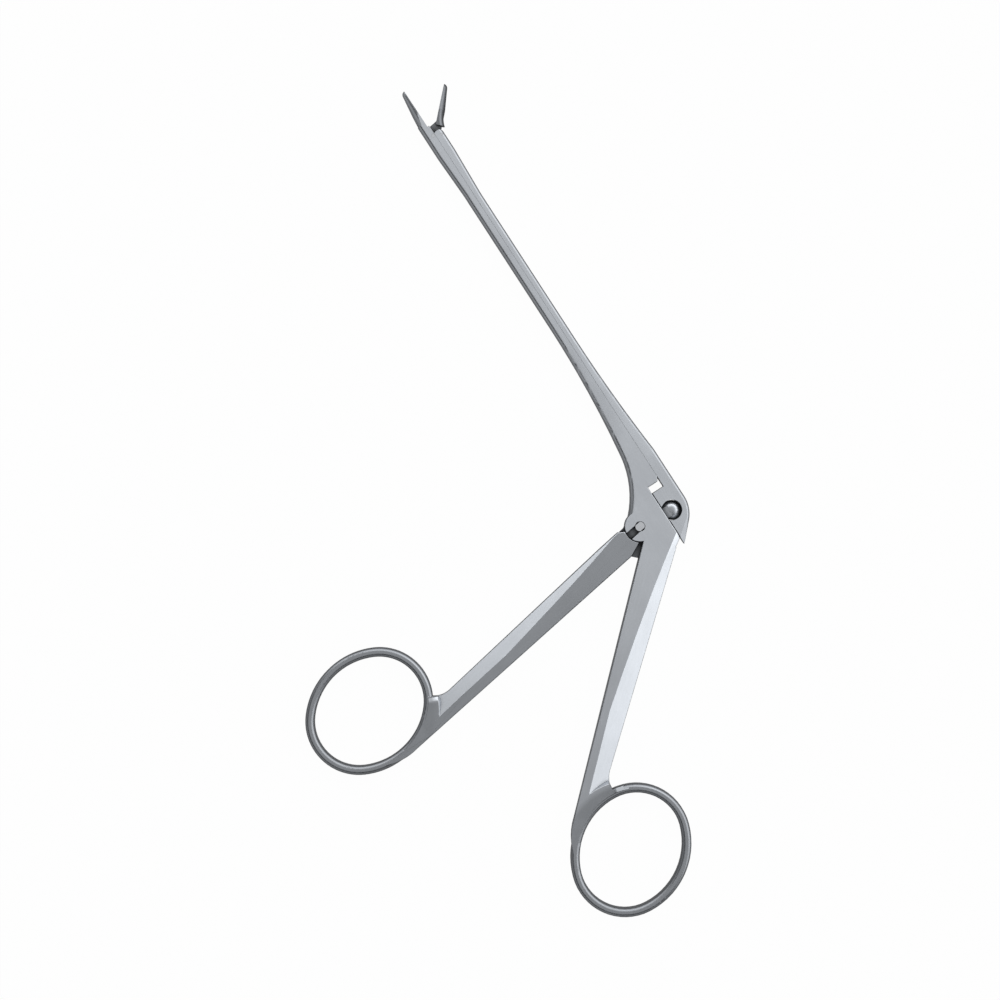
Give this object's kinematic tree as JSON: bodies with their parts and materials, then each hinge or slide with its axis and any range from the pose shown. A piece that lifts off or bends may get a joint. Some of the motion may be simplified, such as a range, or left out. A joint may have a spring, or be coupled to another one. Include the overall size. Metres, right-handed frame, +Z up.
{
  "type": "disc rongeur",
  "caption": "Slim ring-handled surgical rongeur lying open: squeezing the handles slides the upper shaft and shuts the small hinged cup jaw.",
  "frame": {"origin": "centre of the footprint of the instrument lying on its side, on the ground", "axes": "+X runs back along the shaft, away from the jaws; +Y points from the handles to the shaft; +Z is up, across the thickness"},
  "size_m": [0.2216, 0.1276, 0.006],
  "materials": {
    "satin_steel": "fine satin, faintly blue-grey",
    "pin_steel": "ground smooth, slightly brighter than the body"
  },
  "bodies": {
    "fixed": {"fixed_half": "satin_steel", "jaw_hinge_pin": "pin_steel"},
    "slider": {"sliding_shaft": "satin_steel", "jaw_drive_pin": "pin_steel"},
    "jaw": {"upper_jaw": "satin_steel"},
    "handle": {"front_handle": "satin_steel", "handle_pivot_pin": "pin_steel"}
  },
  "joints": [
    {"name": "handle_swing", "type": "hinge", "parent": "fixed", "child": "handle", "pos_m": [0.02225, 0.04272, 0.003], "axis": [0, 0, 1], "range_deg": [0, 10.71]},
    {"name": "shaft_slide", "type": "slide", "parent": "fixed", "child": "slider", "axis": [-1, 0, 0], "range_m": [0, 0.0018]},
    {"name": "jaw_swing", "type": "hinge", "parent": "fixed", "child": "jaw", "pos_m": [-0.09635, 0.05337, 0.003], "axis": [0, 0, 1], "range_deg": [0, 44.5]}
  ],
  "couplings": [
    {"joint": "shaft_slide", "follows": "handle_swing", "m_per_rad": 0.0096295},
    {"joint": "jaw_swing", "follows": "handle_swing", "ratio": 4.155}
  ]
}
